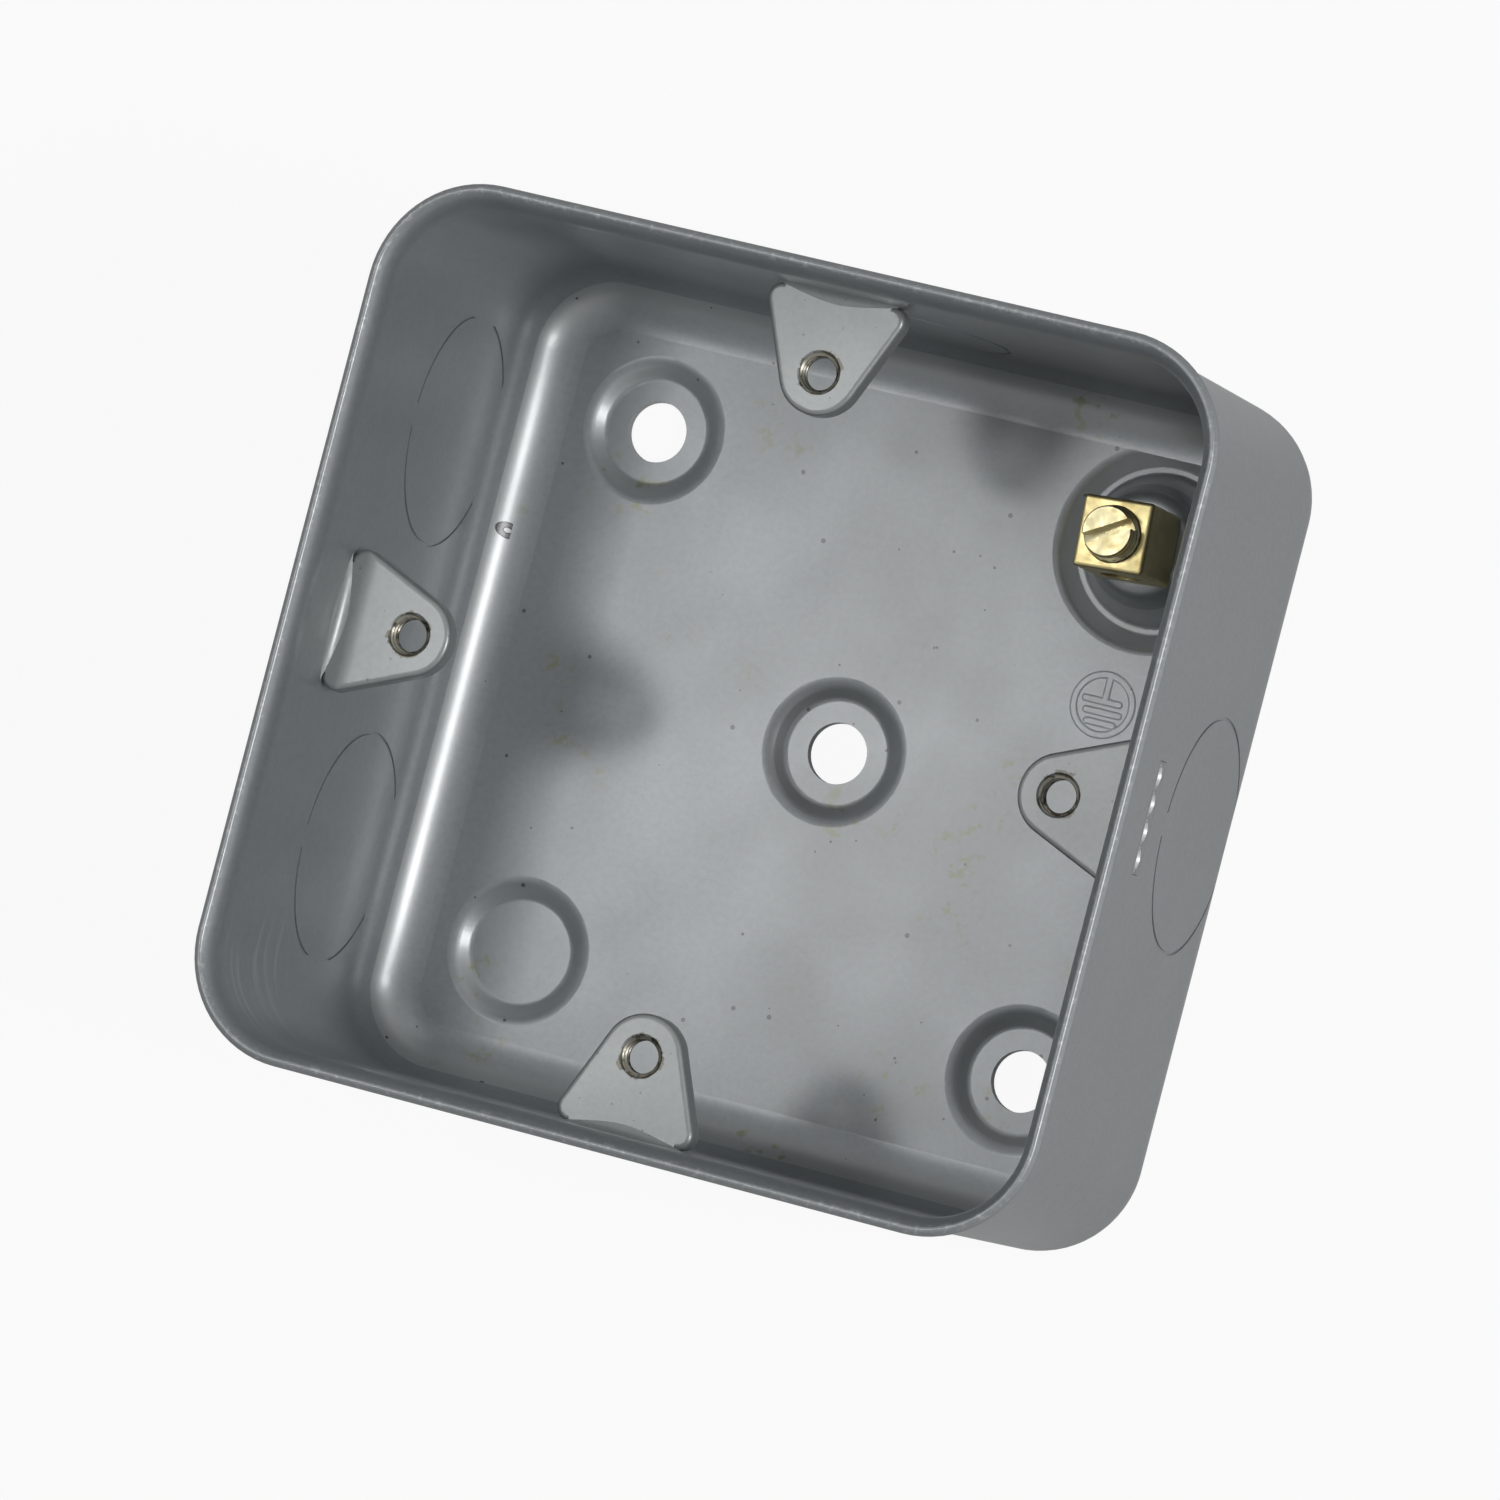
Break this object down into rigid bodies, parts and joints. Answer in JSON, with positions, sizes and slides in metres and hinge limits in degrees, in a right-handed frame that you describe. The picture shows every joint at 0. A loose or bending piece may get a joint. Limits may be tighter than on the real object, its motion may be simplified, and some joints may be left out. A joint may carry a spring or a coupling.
{
  "type": "metal junction box",
  "caption": "Square deep-drawn metal back box with flared rim, threaded device lugs, scored knock-outs, rear fixing holes and a brass earth terminal on a pressed seat.",
  "frame": {"origin": "middle of the plane that the pressed feet stand on, at the back of the box", "axes": "+Z out of the open side, +X to the wall right of the mouth, +Y to the wall nearest the earth terminal's top side; the earth terminal is in the +X +Y corner"},
  "size_m": [0.0778, 0.0778, 0.0409],
  "materials": {
    "shell_paint": "glossy grey paint",
    "lug_paint": "glossy grey paint",
    "terminal_brass": "bright drawn brass",
    "screw_brass": "bright turned brass",
    "plated_steel": "zinc plated"
  },
  "bodies": {
    "root": {"box_shell": "shell_paint", "lug_right": "lug_paint", "lug_top": "lug_paint", "lug_left": "lug_paint", "lug_bottom": "lug_paint", "earth_terminal_block": "terminal_brass", "clamp_screw": "screw_brass", "terminal_fixing_screw": "plated_steel"}
  },
  "joints": []
}
